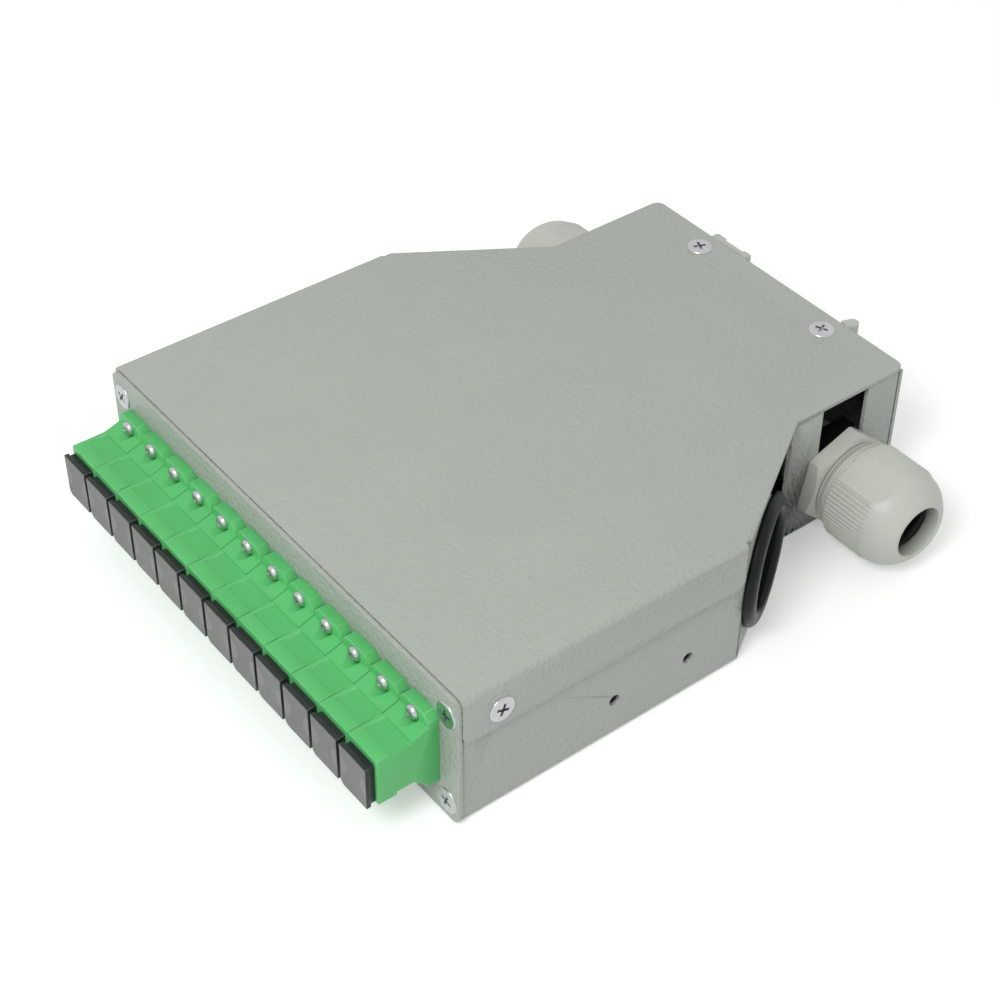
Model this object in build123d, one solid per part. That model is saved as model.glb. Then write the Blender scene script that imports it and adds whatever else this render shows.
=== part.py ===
from build123d import *
import math
import os

# A slim sheet-steel fibre box for a 35 mm mounting rail. It has twelve square
# adapters with dust caps in front, two cable glands and two rubber grommets at
# the sides, and a snap-on rail clip at the back.
# Millimetres. X is across, Y runs from the front to the rail, Z is up.

# Sheet metal
front_width = 140.0
total_length = 152.4
rear_length = 36.0
angled_depth = 38.0
rear_width = 91.0
total_height = 37.9
sheet = 1.0
bend_radius = 1.4
lap_clearance = 0.05
edge_overhang = 0.2
cover_gap = 0.3
lip_depth = 12.7
lip_corner = 2.4
cover_rear_corner = 2.4
corner_slit = 0.5
front_tab_width = 7.2
front_tab_height = 8.6
rear_tab_width = 14.0
rear_tab_depth = 9.0

# Front panel
panel_thickness = 1.0
panel_gap = 0.15
panel_inset = 0.3
panel_corner = 2.5

# Number of sides of the round pieces
small_sides = 6
head_sides = 10
turned_sides = 16

# Countersunk M3.5 screws that hold the panel and the cover
screw_head = 6.6
screw_proud = 0.35
screw_cone = 1.35
screw_shank = 3.4
screw_length = 7.5
screw_clearance = 0.06
clinch_nut_diameter = 4.6
clinch_nut_height = 2.4
panel_screw_x = 65.6
panel_screw_rise = 5.1
panel_screw_drop = 6.3
side_screw_y = 10.0
side_screw_drop = 8.0
rear_screw_x = 22.6
rear_screw_inset = 5.8

# Pair of small holes in each side wall
side_hole_diameter = 3.0
side_hole_rear_gap = 14.7
side_hole_pitch = 21.5
side_hole_z = 10.9

# Adapters
adapter_count = 12
adapter_pitch = 10.55
adapter_gap = 0.2
adapter_rise = 0.25
body_height = 13.2
body_reach = 13.0
body_step_reach = 8.2
body_step = 0.8
flange_height = 22.4
flange_thickness = 2.9
flange_corner = 1.6
ramp_reach = 3.8
ramp_rise = 1.3
field_depth = 0.25
field_margin = 1.1
field_start = 3.5
rear_body_width = 9.5
rear_body_reach = 12.8
rear_body_height = 13.0
cutout_clearance = 0.1
socket_width = 7.6
socket_height = 9.6
web_thickness = 3.4
barrel_diameter = 5.4
sleeve_bore = 2.5
sleeve_length = 11.4
adapter_screw_pitch = 17.9
adapter_screw_head = 3.8
adapter_screw_head_height = 1.3
adapter_screw_dome = 0.7
adapter_screw_shank = 1.9
adapter_pocket_clearance = 0.3
adapter_nut_across = 4.0
adapter_nut_height = 1.6

# Dust caps
cap_width = 9.5
cap_height = 11.9
cap_drop = 0.6
cap_plate = 1.2
cap_collar = 1.5
cap_collar_inset = 0.45
cap_skirt_depth = 6.0
cap_skirt_wall = 1.0
cap_clearance = 0.1
cap_corner_cut = 0.9

# Cable glands, M18 x 1.5
gland_rear_inset = 19.5
gland_z = 14.1
gland_thread = 18.0
gland_slot_width = 15.0
gland_slot_clearance = 0.2
gland_entry_length = 9.5
gland_hex_across = 23.6
gland_hex_thickness = 4.6
gland_hex_turn = 19.2
gland_hex_crown = 1.2
gland_collar = 20.8
gland_collar_length = 10.5
gland_bore = 12.0
gland_seat_bore = 15.4
gland_seat_depth = 7.0
gland_locknut_across = 22.0
gland_locknut_thickness = 4.5
gland_nut_start = 6.6
gland_nut_end = 20.4
gland_nut_flats = 24.6
gland_nut_round = 25.5
gland_nut_turn = 58.0
gland_reach = 28.1
gland_mouth = 13.5
gland_mouth_edge = 1.0
gland_nut_clearance = 0.3
gland_ceiling = 3.2
gland_roof_gap = 2.0
rib_sectors = 3
rib_count = 8
rib_angle = 10.0
rib_height = 0.4
seal_bore = 10.0
seal_overhang = 2.5
seal_clearance = 0.1
clamp_wall = 1.3
clamp_slots = 8
clamp_slot_width = 1.0

# Grommets in the angled walls
grommet_along = 17.0
grommet_hole = 27.0
grommet_bore = 24.0
grommet_flange = 32.4
grommet_inner_flange = 30.0
grommet_crest = 2.8
grommet_edge = 0.9
grommet_bead = 1.3
grommet_inner_depth = 1.8
grommet_clearance = 0.05
angled_wall_end_gap = 9.0
angled_wall_cut = 18.0
angled_wall_cut_drop = 13.0

# Rail clip
rail_width = 35.0
rail_flange = 1.0
rail_clearance = 0.3
clip_plate = 2.5
rail_land = 0.3
rail_land_gap = 0.3
clip_height = 31.5
clip_lip = 1.5
clip_lip_bead = 0.6
clip_lip_overlap = 2.6
clip_lip_tip = 2.2
clip_slot_depth = 9.5
clip_hook_wall = 3.4
latch_travel = 3.0
latch_width = 14.0
latch_thickness = 1.2
latch_clearance = 0.15
latch_lip = 1.9
latch_lip_overlap = 1.3
latch_hook_wall = 5.2
latch_arm_reach = 4.0
latch_arm_thickness = 3.0
latch_arm_lean = 19.0
latch_body_length = 20.0
clip_screw_x = 8.0
clip_screw_head = 5.6
clip_screw_head_height = 1.0
clip_screw_shank = 3.0
clip_screw_length = 5.0

# Splice tray
tray_length = 60.0
tray_width = 76.0
tray_rear_gap = 34.4
tray_thickness = 1.6
tray_rim = 5.0
tray_rim_wall = 1.4
tray_corner = 12.0
tray_mouth = 14.0
standoff_across = 5.5
standoff_height = 4.0
standoff_inset = 9.0
tray_screw_head = 5.4
tray_screw_head_height = 1.8
tray_screw_shank = 2.9
tray_screw_length = 5.0
splice_slots = 6
splice_pitch = 4.2
splice_fin = 1.2
splice_fin_height = 5.0
splice_length = 34.0
splice_base = 1.2

# Cable anchors
anchor_x = 27.0
anchor_width = 12.0
anchor_foot = 12.0
anchor_height = 15.0
anchor_sheet = 1.2
anchor_hole = 4.5
anchor_hole_drop = 4.5
anchor_stud_length = 6.0
anchor_nut_across = 5.5
anchor_nut_height = 2.4

# Worked-out sizes
angled_end = total_length - rear_length
side_length = angled_end - angled_depth
panel_screw_heights = (panel_screw_rise, total_height - panel_screw_drop)
side_screw_z = total_height - side_screw_drop
side_hole_first = side_length - side_hole_rear_gap - side_hole_pitch
adapter_axis_z = total_height / 2 + adapter_rise
gland_y = total_length - gland_rear_inset
gland_collar_end = gland_hex_thickness + gland_collar_length
grommet_z = total_height / 2
tray_front = total_length - tray_rear_gap - tray_length
side_x = front_width / 2 - sheet - lap_clearance
rear_x = rear_width / 2 - edge_overhang
rear_y = total_length - edge_overhang
wall_top = total_height - sheet - cover_gap
cover_under = total_height - sheet
panel_back = -panel_gap
panel_front = panel_back - panel_thickness
tab_front = panel_back
flange_front = panel_front - flange_thickness
body_front = flange_front - body_reach
body_top = adapter_axis_z + body_height / 2
body_bottom = adapter_axis_z - body_height / 2
rear_body_end = panel_back + rear_body_reach
adapter_middle = (body_front + rear_body_end) / 2
adapter_width = adapter_pitch - adapter_gap
angled_run = Vector(rear_width / 2 - front_width / 2, angled_end - side_length, 0)
angled_length = angled_run.length
angled_dir = angled_run.normalized()
angled_out = Vector(angled_dir.Y, -angled_dir.X, 0)
rail_seat_y = rear_y + clip_plate
clip_screw_seat_y = rail_seat_y - latch_thickness - latch_clearance
clip_mid_z = total_height / 2
screw_hole_radius = screw_shank / 2 + screw_clearance
clip_hole_radius = clip_screw_shank / 2 + screw_clearance
tray_hole_radius = tray_screw_shank / 2 + screw_clearance
adapter_hole_radius = adapter_screw_shank / 2 + screw_clearance
origin_shift = Location((0, -total_length / 2, 0))


def span_box(xs, ys, zs):
    """Box between three pairs of limits."""
    size = (xs[1] - xs[0], ys[1] - ys[0], zs[1] - zs[0])
    centre = ((xs[0] + xs[1]) / 2, (ys[0] + ys[1]) / 2, (zs[0] + zs[1]) / 2)
    return Pos(*centre) * Box(*size)


def across_plane(start, direction):
    """Plane across a direction, its own X along the part's X, or along Y where the direction is X."""
    x_dir = (0, 1, 0) if abs(direction.X) > 0.99 else (1, 0, 0)
    return Plane(origin=start, x_dir=x_dir, z_dir=direction)


def round_bar(start, direction, radius, length):
    """Cylinder from a start point along a direction."""
    plane = across_plane(start, direction)
    return plane * Pos(0, 0, length / 2) * Cylinder(radius, length)


def sided_bar(start, direction, radius, length, sides, turn=0.0):
    """Prism from a start point along a direction, sized to its corners."""
    section = Rot(0, 0, turn) * RegularPolygon(radius, sides)
    return across_plane(start, direction) * extrude(section, amount=length)


def hex_bar(start, direction, across, length, turn=0.0):
    """Hexagonal prism from a start point along a direction, sized across its flats."""
    return sided_bar(start, direction, across / math.sqrt(3), length, 6, turn)


def sided_cone(start, direction, start_radius, end_radius, length, sides, turn=0.0):
    """Tapered prism from a start point along a direction, sized to its corners."""
    section = Rot(0, 0, turn) * RegularPolygon(start_radius, sides)
    lean = math.degrees(math.atan((start_radius - end_radius) * math.cos(math.pi / sides) / length))
    return across_plane(start, direction) * extrude(section, amount=length, taper=lean)


def sided_turning(start, direction, profile, sides):
    """Stack of tapered prisms through a list of lengths and corner radii."""
    rings = list(zip(profile[:-1], profile[1:]))
    return [
        sided_cone(start + direction * near, direction, near_radius, far_radius, far - near, sides)
        for (near, near_radius), (far, far_radius) in rings
    ]


def both_sides(shape):
    """A shape together with its mirror image across the middle plane."""
    return shape + mirror(shape, about=Plane.YZ)


def save(name, *shapes):
    """Write one node, moved to the part's origin."""
    pieces = [origin_shift * solid for shape in shapes for solid in shape.solids()]
    node = pieces[0] if len(pieces) == 1 else Compound(children=pieces)
    export_step(node, f"parts/{name}.step")


# Sheet-metal outline

def angled_point(along, outward, z):
    """Point beside the right angled edge: along it, out from it and up."""
    corner = Vector(front_width / 2, side_length, z)
    return corner + angled_dir * along + angled_out * outward


def angled_wall_y(x):
    """Y of the outer face of the right angled wall at a given X."""
    start = angled_point(0, -edge_overhang, 0)
    return start.Y + (x - start.X) * angled_dir.Y / angled_dir.X


def tray_plan(inset):
    """Plan of the tray's outer faces, moved inwards by the inset."""
    lean = math.tan(math.acos(angled_dir.Y) / 2) * inset
    x_front = side_x - inset
    x_rear = rear_x - inset
    y_front_corner = angled_wall_y(side_x) - lean
    y_rear_corner = angled_wall_y(rear_x) - lean
    right = [(x_front, tab_front), (x_front, y_front_corner), (x_rear, y_rear_corner), (x_rear, rear_y - inset)]
    left = [(-x, y) for x, y in reversed(right)]
    return make_face(Polyline(*right, *left, close=True))


def countersink(start, direction):
    """Clearance cut for a countersunk screw; the start is on the sheet's outer face."""
    head_start = start - direction * screw_proud
    head_radius = screw_head / 2 + screw_clearance
    return sided_cone(head_start, direction, head_radius, screw_hole_radius, screw_cone, head_sides)


def screw_hole(start, direction):
    """Clearance hole for a countersunk screw's shank; the start is on the sheet's outer face."""
    return sided_bar(start, direction, screw_hole_radius, screw_length, small_sides)


def countersunk_screw(start, direction):
    """Countersunk screw; the start is on the sheet's outer face."""
    head_start = start - direction * screw_proud
    head = sided_cone(head_start, direction, screw_head / 2, screw_shank / 2, screw_cone, head_sides)
    shank_start = head_start + direction * screw_cone
    return head + sided_bar(shank_start, direction, screw_shank / 2, screw_length - screw_cone, small_sides)


def clinch_nut(start, direction, hole_radius):
    """Nut pressed against the back of a sheet."""
    hole = sided_bar(start, direction, hole_radius, clinch_nut_height, small_sides)
    return sided_bar(start, direction, clinch_nut_diameter / 2, clinch_nut_height, small_sides) - hole


inward = Vector(0, 1, 0)
up = Vector(0, 0, 1)
down = Vector(0, 0, -1)
to_right = Vector(1, 0, 0)
to_left = Vector(-1, 0, 0)


def panel_screw_points():
    sides = (-panel_screw_x, panel_screw_x)
    return [Vector(x, panel_front, z) for x in sides for z in panel_screw_heights]


def rear_screw_points():
    return [Vector(x, total_length - rear_screw_inset, total_height) for x in (-rear_screw_x, rear_screw_x)]


def side_screw_points():
    right = Vector(front_width / 2, side_screw_y, side_screw_z)
    left = Vector(-front_width / 2, side_screw_y, side_screw_z)
    return [(right, to_left), (left, to_right)]


def gland_slot():
    """Keyhole slot in the right rear side wall: a round hole for the thread, open to the top for a cable."""
    radius = gland_thread / 2 + gland_slot_clearance
    start = Vector(rear_x - 2 * sheet, gland_y, gland_z)
    round_end = sided_bar(start, to_right, radius, 3 * sheet, turned_sides)
    ys = (gland_y - gland_slot_width / 2, gland_y + gland_slot_width / 2)
    mouth = span_box((rear_x - 2 * sheet, rear_x + sheet), ys, (gland_z, wall_top + sheet))
    return round_end + mouth


def angled_wall_trim():
    """Material left out behind the right grommet: the end of the folded wall and its clipped top corner."""
    z0 = bend_radius
    z1 = wall_top + sheet
    end = angled_length - angled_wall_end_gap
    reach = angled_length - sheet - bend_radius
    drop = wall_top - angled_wall_cut_drop
    outline = Polyline((angled_wall_cut, z1), (end, drop), (end, z0), (reach, z0), (reach, z1), close=True)
    start = angled_point(0, 2 * sheet, 0)
    plane = Plane(origin=start, x_dir=angled_dir, z_dir=-angled_out)
    flipped = -1 if plane.y_dir.Z < 0 else 1
    face = make_face(outline if flipped == 1 else mirror(outline, about=Plane.XZ))
    return plane * extrude(face, amount=4 * sheet + bend_radius)


def tray_cuts():
    """Slot, grommet hole, corner slits and holes of the tray's right half."""
    cuts = gland_slot()
    hole_start = angled_point(grommet_along, sheet, grommet_z)
    cuts += sided_bar(hole_start, -angled_out, grommet_hole / 2, 4 * sheet, turned_sides)
    cuts += angled_wall_trim()
    for i in range(2):
        y = side_hole_first + i * side_hole_pitch
        cuts += round_bar(Vector(side_x - 2 * sheet, y, side_hole_z), to_right, side_hole_diameter / 2, 3 * sheet)
    corner_y = angled_wall_y(side_x)
    slit_z = (bend_radius, wall_top + sheet)
    slit_ys = (corner_y - corner_slit / 2, corner_y + corner_slit / 2)
    cuts += span_box((side_x - 3 * sheet, side_x + sheet), slit_ys, slit_z)
    rear_slit_y = rear_y - sheet - corner_slit
    cuts += span_box((rear_x - 2 * sheet, rear_x + sheet), (rear_slit_y, rear_slit_y + corner_slit), slit_z)
    return cuts


def make_base_tray():
    outer = extrude(tray_plan(0), amount=wall_top)
    floor_edges = outer.faces().sort_by(Axis.Z)[0].edges().filter_by(lambda e: e.center().Y > tab_front + sheet)
    outer = fillet(floor_edges, bend_radius)
    inner = Pos(0, 0, sheet) * extrude(tray_plan(sheet), amount=wall_top)
    tray = outer - inner
    opening = span_box((-side_x + sheet, side_x - sheet), (tab_front - sheet, tab_front + sheet), (sheet, wall_top + sheet))
    tray -= opening
    for x_near, x_far in ((side_x - front_tab_width, side_x - sheet), (sheet - side_x, front_tab_width - side_x)):
        for z0, z1 in ((sheet, sheet + front_tab_height), (wall_top - front_tab_height, wall_top)):
            tray += span_box((x_near, x_far), (tab_front, tab_front + sheet), (z0, z1))
    for x in (-rear_screw_x, rear_screw_x):
        xs = (x - rear_tab_width / 2, x + rear_tab_width / 2)
        ys = (rear_y - sheet - rear_tab_depth, rear_y - sheet)
        tray += span_box(xs, ys, (wall_top - sheet, wall_top))
    tray -= both_sides(tray_cuts())
    for point in panel_screw_points():
        tray -= screw_hole(point, inward)
    for point in rear_screw_points():
        tray -= screw_hole(point, down)
    for point, direction in side_screw_points():
        tray -= screw_hole(point, direction)
    for x, z in clip_screw_places():
        tray -= sided_bar(Vector(x, rear_y - 2 * sheet, z), inward, clip_hole_radius, 3 * sheet, small_sides)
    return tray


def fold_solids(tray):
    """The tray's flat solids, which meet face to face at its folds."""
    neck = angled_wall_y(rear_x)
    breaks = (tab_front - sheet, tab_front + sheet, angled_wall_y(side_x), neck, rear_y - sheet, rear_y + sheet)
    floor_spans = ((breaks[0], neck), (neck, breaks[-1]))
    wide = (-front_width, front_width)
    floors = [tray & span_box(wide, ys, (-sheet, sheet)) for ys in floor_spans]
    walls = [tray & span_box(wide, ys, (sheet, total_height)) for ys in zip(breaks[:-1], breaks[1:])]
    return floors + walls


def cover_lip():
    """Right lip of the cover: a folded strip whose lower corners are rounded."""
    outer = front_width / 2
    flat = outer - bend_radius
    low = total_height - lip_depth
    fold_radius = bend_radius - sheet
    strip = [
        Line((flat, total_height), (flat, cover_under)),
        RadiusArc((flat, cover_under), (outer - sheet, cover_under - fold_radius), fold_radius),
        Line((outer - sheet, cover_under - fold_radius), (outer - sheet, low)),
        Line((outer - sheet, low), (outer, low)),
        Line((outer, low), (outer, total_height - bend_radius)),
        RadiusArc((outer, total_height - bend_radius), (flat, total_height), -bend_radius),
    ]
    plane = Plane(origin=(0, 0, 0), x_dir=(1, 0, 0), z_dir=(0, -1, 0))
    lip = plane * extrude(make_face(Wire(strip)), amount=-side_length)
    corners = lip.edges().filter_by(Axis.X).group_by(Axis.Z)[0]
    return fillet(corners, lip_corner)


def make_cover():
    flat = front_width / 2 - bend_radius
    flat_end = side_length + bend_radius * angled_dir.Y / -angled_dir.X
    half = [(flat, 0), (flat, flat_end), (rear_width / 2, angled_end), (rear_width / 2, total_length)]
    other = [(-x, y) for x, y in reversed(half)]
    plan = make_face(Polyline(*half, *other, close=True))
    rear_corners = plan.vertices().filter_by(lambda v: v.Y > total_length - 0.01)
    plan = fillet(rear_corners, cover_rear_corner)
    plate = Pos(0, 0, cover_under) * extrude(plan, amount=sheet)
    cover = plate + both_sides(cover_lip())
    for point in rear_screw_points():
        cover -= countersink(point, down)
    for point, direction in side_screw_points():
        cover -= countersink(point, direction)
    return cover


# Adapters and their panel

def adapter_x(index):
    return (index - (adapter_count - 1) / 2) * adapter_pitch


def adapter_screw_heights():
    return (adapter_axis_z - adapter_screw_pitch / 2, adapter_axis_z + adapter_screw_pitch / 2)


def make_front_panel():
    width = front_width - 2 * panel_inset
    height = total_height - 2 * panel_inset
    outline = RectangleRounded(width, height, panel_corner)
    plane = Plane(origin=(0, panel_back, total_height / 2), x_dir=(1, 0, 0), z_dir=(0, -1, 0))
    cut_width = rear_body_width + 2 * cutout_clearance
    cut_height = rear_body_height + 2 * cutout_clearance
    slot_width = 2 * adapter_hole_radius
    slot_height = adapter_screw_pitch + slot_width
    cutout = Rectangle(cut_width, cut_height) + Rectangle(slot_width, slot_height)
    places = [(adapter_x(i), adapter_axis_z - total_height / 2) for i in range(adapter_count)]
    outline -= Locations(*places) * cutout
    panel = plane * extrude(outline, amount=panel_thickness)
    for point in panel_screw_points():
        panel -= countersink(point, inward)
    return panel


def make_adapter():
    """Adapter housing at X = 0."""
    half = adapter_width / 2
    xs = (-half, half)
    collar_front = flange_front - ramp_reach
    step_y = flange_front - body_step_reach
    flange_low = adapter_axis_z - flange_height / 2
    side = Polyline(
        (body_front, body_bottom),
        (step_y, body_bottom),
        (step_y, body_bottom + body_step),
        (collar_front, body_bottom + body_step),
        (flange_front, flange_low + flange_corner),
        (panel_front, flange_low + flange_corner),
        (panel_front, body_top + ramp_rise),
        (flange_front, body_top + ramp_rise),
        (collar_front, body_top),
        (body_front, body_top),
        close=True,
    )
    side_plane = Plane(origin=(-half, 0, 0), x_dir=(0, 1, 0), z_dir=(1, 0, 0))
    body = side_plane * extrude(make_face(side), amount=adapter_width)
    flange_plane = Plane(origin=(0, panel_front, adapter_axis_z), x_dir=(1, 0, 0), z_dir=(0, -1, 0))
    flange_face = Rectangle(adapter_width, flange_height)
    flange_face = chamfer(flange_face.vertices(), flange_corner)
    flange = flange_plane * extrude(flange_face, amount=flange_thickness)
    body += flange
    rear_half = rear_body_width / 2
    rear_zs = (adapter_axis_z - rear_body_height / 2, adapter_axis_z + rear_body_height / 2)
    body += span_box((-rear_half, rear_half), (panel_front, rear_body_end), rear_zs)
    field_xs = (-half + field_margin, half)
    field_ys = (body_front + field_start, collar_front)
    body -= span_box(field_xs, field_ys, (body_top - field_depth, body_top + field_depth))
    socket_x = (-socket_width / 2, socket_width / 2)
    socket_z = (adapter_axis_z - socket_height / 2, adapter_axis_z + socket_height / 2)
    web = (adapter_middle - web_thickness / 2, adapter_middle + web_thickness / 2)
    body -= span_box(socket_x, (body_front - 1, web[0]), socket_z)
    body -= span_box(socket_x, (web[1], rear_body_end + 1), socket_z)
    barrel_start = Vector(0, adapter_middle - sleeve_length / 2, adapter_axis_z)
    body += sided_bar(barrel_start, inward, barrel_diameter / 2, sleeve_length, small_sides)
    body -= sided_bar(barrel_start, inward, sleeve_bore / 2, sleeve_length, small_sides)
    pocket_half = adapter_screw_head / 2 + adapter_pocket_clearance
    pocket_ys = (flange_front - ramp_reach, flange_front)
    for z, outward in zip(adapter_screw_heights(), (-1, 1)):
        hole_start = Vector(0, flange_front, z)
        body -= sided_bar(hole_start, inward, adapter_hole_radius, flange_thickness, small_sides)
        near = z - outward * pocket_half
        end = z + outward * flange_height / 2
        body -= span_box((-pocket_half, pocket_half), pocket_ys, (min(near, end), max(near, end)))
    return body


def make_adapter_screw(z):
    """Pan-head screw through the flange and the panel at X = 0, with its nut behind the panel."""
    seat = Vector(0, flange_front, z)
    head = sided_bar(seat, -inward, adapter_screw_head / 2, adapter_screw_head_height, small_sides)
    front_edges = head.faces().sort_by(Axis.Y)[0].edges()
    head = chamfer(front_edges, adapter_screw_dome)
    length = panel_back - flange_front
    screw = head + sided_bar(seat, inward, adapter_screw_shank / 2, length, small_sides)
    return screw + hex_bar(Vector(0, panel_back, z), inward, adapter_nut_across, adapter_nut_height)


def make_dust_cap():
    """Dust cap of the adapter at X = 0."""
    z_mid = adapter_axis_z - cap_drop
    back = body_front
    collar_front = back - cap_collar
    plate_plane = Plane(origin=(0, collar_front, z_mid), x_dir=(1, 0, 0), z_dir=(0, -1, 0))
    outline = Rectangle(cap_width, cap_height)
    low_corner = outline.vertices().sort_by(lambda v: v.X + v.Y)[0]
    outline = chamfer(low_corner, cap_corner_cut)
    plate = plate_plane * extrude(outline, amount=cap_plate)
    collar = Rectangle(cap_width - 2 * cap_collar_inset, cap_height - 2 * cap_collar_inset)
    plate += plate_plane * extrude(collar, amount=-cap_collar)
    skirt_x = socket_width / 2 - cap_clearance
    skirt_z = socket_height / 2 - cap_clearance
    outer_zs = (adapter_axis_z - skirt_z, adapter_axis_z + skirt_z)
    inner_x = skirt_x - cap_skirt_wall
    inner_zs = (outer_zs[0] + cap_skirt_wall, outer_zs[1] - cap_skirt_wall)
    plate += span_box((-skirt_x, skirt_x), (back, back + cap_skirt_depth), outer_zs)
    plate -= span_box((-inner_x, inner_x), (collar_front, back + cap_skirt_depth), inner_zs)
    return plate


# Cable glands, built on the right side

def gland_point(out):
    """Point on the gland's axis, measured outwards from the wall's outer face."""
    return Vector(rear_x + out, gland_y, gland_z)


def make_gland_body():
    hex_base = hex_bar(gland_point(0), to_right, gland_hex_across, gland_hex_thickness, gland_hex_turn)
    corner = gland_hex_across / math.sqrt(3)
    crown_radius = (corner + gland_hex_crown) / math.cos(math.pi / 6)
    crown_end = (corner - gland_hex_crown) / math.cos(math.pi / 6)
    turn = gland_hex_turn + 30
    crown = sided_cone(gland_point(0), to_right, crown_radius, crown_end, gland_hex_thickness, 6, turn)
    body = hex_base & crown
    entry_start = gland_point(-sheet - gland_entry_length)
    entry_length = sheet + gland_entry_length
    body += sided_bar(entry_start, to_right, gland_thread / 2, entry_length, turned_sides)
    collar_start = gland_point(gland_hex_thickness)
    body += sided_bar(collar_start, to_right, gland_collar / 2, gland_collar_length, turned_sides)
    seat_start = gland_point(gland_collar_end - gland_seat_depth)
    bore_length = entry_length + gland_collar_end - gland_seat_depth
    body -= sided_bar(entry_start, to_right, gland_bore / 2, bore_length, clamp_slots)
    body -= sided_bar(seat_start, to_right, gland_seat_bore / 2, gland_seat_depth, clamp_slots)
    return body


def nut_outline():
    """Section of the cap nut: ribbed sectors with a flat between each two."""
    root = gland_nut_round / 2
    crest = root + rib_height
    corners = []
    for sector in range(rib_sectors):
        middle = gland_nut_turn + sector * 360 / rib_sectors
        first = middle - rib_count * rib_angle / 2
        for i in range(rib_count):
            corners.append((crest, first + (i + 0.5) * rib_angle))
            corners.append((root, first + (i + 1) * rib_angle))
        corners.pop()
        flat_half = 180 / rib_sectors - rib_count * rib_angle / 2
        flat_radius = gland_nut_flats / 2 / math.cos(math.radians(flat_half))
        corners.append((flat_radius, first + rib_count * rib_angle))
        corners.append((flat_radius, first + 360 / rib_sectors))
    points = [Vector(radius, 0, 0).rotate(Axis.Z, angle) for radius, angle in corners]
    return make_face(Polyline(*points, close=True))


def make_gland_cap_nut():
    """Cap nut with a ribbed grip, a domed end and a round mouth."""
    grip_length = gland_nut_end - gland_nut_start
    nut = across_plane(gland_point(gland_nut_start), to_right) * extrude(nut_outline(), amount=grip_length)
    root = gland_nut_round / 2
    mouth = gland_mouth / 2
    rim = mouth + gland_mouth_edge
    dome = gland_reach - gland_nut_end
    outside = [
        (gland_nut_end, root),
        (gland_nut_end + 0.45 * dome, rim + 0.80 * (root - rim)),
        (gland_nut_end + 0.85 * dome, rim + 0.36 * (root - rim)),
        (gland_reach, rim),
    ]
    inner = gland_collar / 2 + gland_nut_clearance
    inside = [
        (gland_nut_start, inner),
        (gland_collar_end + gland_roof_gap, inner),
        (gland_reach - gland_ceiling, mouth),
        (gland_reach - gland_mouth_edge, mouth),
        (gland_reach, rim),
    ]
    for ring in sided_turning(gland_point(0), to_right, outside, turned_sides):
        nut += ring
    for ring in sided_turning(gland_point(0), to_right, inside, turned_sides):
        nut -= ring
    return nut


def make_gland_seal():
    start = gland_point(gland_collar_end - gland_seat_depth + seal_clearance)
    outer = gland_seat_bore / 2 - clamp_wall - seal_clearance
    length = gland_seat_depth + seal_overhang
    ring = sided_bar(start, to_right, outer, length, clamp_slots)
    return ring - round_bar(start, to_right, seal_bore / 2, length)


def make_gland_clamp():
    """Sleeve round the seal, slit into fingers from its outer end."""
    start = gland_point(gland_collar_end - gland_seat_depth + seal_clearance)
    outer = gland_seat_bore / 2 - seal_clearance
    length = gland_seat_depth + seal_overhang
    ring = sided_bar(start, to_right, outer, length, clamp_slots)
    ring -= sided_bar(start, to_right, outer - clamp_wall + seal_clearance / 2, length, clamp_slots)
    base = across_plane(start + to_right * length / 2, to_right)
    for i in range(clamp_slots):
        slot = Pos(outer, 0, length / 4) * Box(3 * clamp_wall, clamp_slot_width, length / 2 + 0.01)
        ring -= base * Rot(0, 0, i * 360 / clamp_slots) * slot
    return ring


def make_gland_locknut():
    start = gland_point(-sheet - gland_locknut_thickness)
    nut = hex_bar(start, to_right, gland_locknut_across, gland_locknut_thickness)
    hole_radius = gland_thread / 2 + screw_clearance
    return nut - sided_bar(start, to_right, hole_radius, gland_locknut_thickness, turned_sides)


# Grommets, built in the right angled wall

def make_grommet():
    """Rubber ring with a beaded outer flange, a groove for the wall and a flat inner flange."""
    outer_face = grommet_clearance - edge_overhang
    inner_face = -sheet - grommet_clearance - edge_overhang
    back = angled_point(grommet_along, inner_face - grommet_inner_depth, grommet_z)
    groove_radius = grommet_hole / 2 - grommet_clearance
    groove_length = outer_face - inner_face + grommet_inner_depth
    depth = grommet_crest - outer_face - edge_overhang
    bead = sided_bar(angled_point(grommet_along, outer_face, grommet_z), angled_out, grommet_flange / 2, depth, turned_sides)
    crest_face = bead.faces().sort_by(Axis(tuple(back), tuple(angled_out)))[-1]
    bead = chamfer(crest_face.edges(), depth - grommet_edge, grommet_bead)
    ring = bead + sided_bar(back, angled_out, groove_radius, groove_length, turned_sides)
    ring += sided_bar(back, angled_out, grommet_inner_flange / 2, grommet_inner_depth, turned_sides)
    return ring - round_bar(back, angled_out, grommet_bore / 2, groove_length + depth)


# Rail clip

def clip_screw_places():
    return [(x, clip_mid_z) for x in (-clip_screw_x, clip_screw_x)]


def hook_outline():
    """Fixed hook seen from above: a wall, then a long lip with a raised bead at each end."""
    lip_inner = rail_seat_y + rail_flange + rail_clearance
    lip_outer = lip_inner + clip_lip
    bead = lip_outer + clip_lip_bead
    tip = -rail_width / 2 + clip_lip_overlap
    root = tip - clip_slot_depth
    far = root - clip_hook_wall
    return make_face(
        Polyline(
            (root, rear_y),
            (root, lip_inner),
            (tip, lip_inner),
            (tip, bead),
            (tip - clip_lip_tip, bead),
            (tip - clip_lip_tip - clip_lip_bead, lip_outer),
            (root + clip_lip_bead, lip_outer),
            (root, bead),
            (far + clip_lip_bead, bead),
            (far, lip_outer),
            (far, rear_y),
            close=True,
        )
    )


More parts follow.
